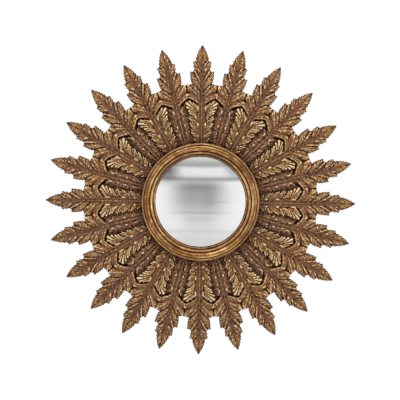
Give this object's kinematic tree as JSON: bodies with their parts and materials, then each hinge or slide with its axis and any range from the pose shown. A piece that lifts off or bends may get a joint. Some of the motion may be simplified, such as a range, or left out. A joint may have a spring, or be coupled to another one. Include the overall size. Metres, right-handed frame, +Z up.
{
  "type": "convex butlers mirror",
  "caption": "Round wall mirror: a small convex glass in a reeded gilt ring, inside a sunburst of carved, gilded acanthus leaves; hangs by two D-rings behind.",
  "frame": {"origin": "on the wall, behind the middle of the glass", "axes": "+Z up, towards the tip of the top leaf; -Y out of the wall, the way the glass faces; +X to the right seen from the front"},
  "size_m": [0.82, 0.042, 0.82],
  "materials": {
    "gilded_leaf": "cast resin, antique gilt over red-brown bole, rubbed on the ridges",
    "gilded_ring": "cast resin, satin antique gold with a dark patina in the grooves",
    "painted_board": "fibreboard painted very dark brown",
    "silvered_glass": "silvered convex glass",
    "packing": "card and felt packing",
    "hardboard": "plain tempered hardboard",
    "zinc_steel": "zinc plated",
    "plated_steel": "brass plated steel",
    "rubber": "soft black rubber"
  },
  "bodies": {
    "frame": {"back_cover": "hardboard", "backboard": "painted_board", "broad_leaf_01": "gilded_leaf", "broad_leaf_02": "gilded_leaf", "broad_leaf_03": "gilded_leaf", "broad_leaf_04": "gilded_leaf", "broad_leaf_05": "gilded_leaf", "broad_leaf_06": "gilded_leaf", "broad_leaf_07": "gilded_leaf", "broad_leaf_08": "gilded_leaf", "broad_leaf_09": "gilded_leaf", "broad_leaf_10": "gilded_leaf", "broad_leaf_11": "gilded_leaf", "broad_leaf_12": "gilded_leaf", "glass_packing": "packing", "hanger_screws": "zinc_steel", "hanger_strap_left": "plated_steel", "hanger_strap_right": "plated_steel", "leaf_screws": "zinc_steel", "mirror_glass": "silvered_glass", "narrow_leaf_01": "gilded_leaf", "narrow_leaf_02": "gilded_leaf", "narrow_leaf_03": "gilded_leaf", "narrow_leaf_04": "gilded_leaf", "narrow_leaf_05": "gilded_leaf", "narrow_leaf_06": "gilded_leaf", "narrow_leaf_07": "gilded_leaf", "narrow_leaf_08": "gilded_leaf", "narrow_leaf_09": "gilded_leaf", "narrow_leaf_10": "gilded_leaf", "narrow_leaf_11": "gilded_leaf", "narrow_leaf_12": "gilded_leaf", "ring_frame": "gilded_ring", "ring_screws": "zinc_steel", "turn_button_screws": "zinc_steel", "wall_bumpers": "rubber"},
    "button_1": {"turn_button_1": "plated_steel"},
    "button_2": {"turn_button_2": "plated_steel"},
    "button_3": {"turn_button_3": "plated_steel"},
    "button_4": {"turn_button_4": "plated_steel"},
    "dring_left": {"hanger_ring_left": "plated_steel"},
    "dring_right": {"hanger_ring_right": "plated_steel"}
  },
  "joints": [
    {"name": "button_1_pivot", "type": "hinge", "parent": "frame", "child": "button_1", "pos_m": [0.09617, -0.0057, 0.09617], "axis": [0, -1, 0], "continuous": true},
    {"name": "button_2_pivot", "type": "hinge", "parent": "frame", "child": "button_2", "pos_m": [0.09617, -0.0057, -0.09617], "axis": [0, -1, 0], "continuous": true},
    {"name": "button_3_pivot", "type": "hinge", "parent": "frame", "child": "button_3", "pos_m": [-0.09617, -0.0057, -0.09617], "axis": [0, -1, 0], "continuous": true},
    {"name": "button_4_pivot", "type": "hinge", "parent": "frame", "child": "button_4", "pos_m": [-0.09617, -0.0057, 0.09617], "axis": [0, -1, 0], "continuous": true},
    {"name": "dring_left_hinge", "type": "hinge", "parent": "frame", "child": "dring_left", "pos_m": [-0.19, -0.00452, 0.1], "axis": [1, 0, 0], "range_deg": [0, 180]},
    {"name": "dring_right_hinge", "type": "hinge", "parent": "frame", "child": "dring_right", "pos_m": [0.19, -0.00452, 0.1], "axis": [1, 0, 0], "range_deg": [0, 180]}
  ]
}
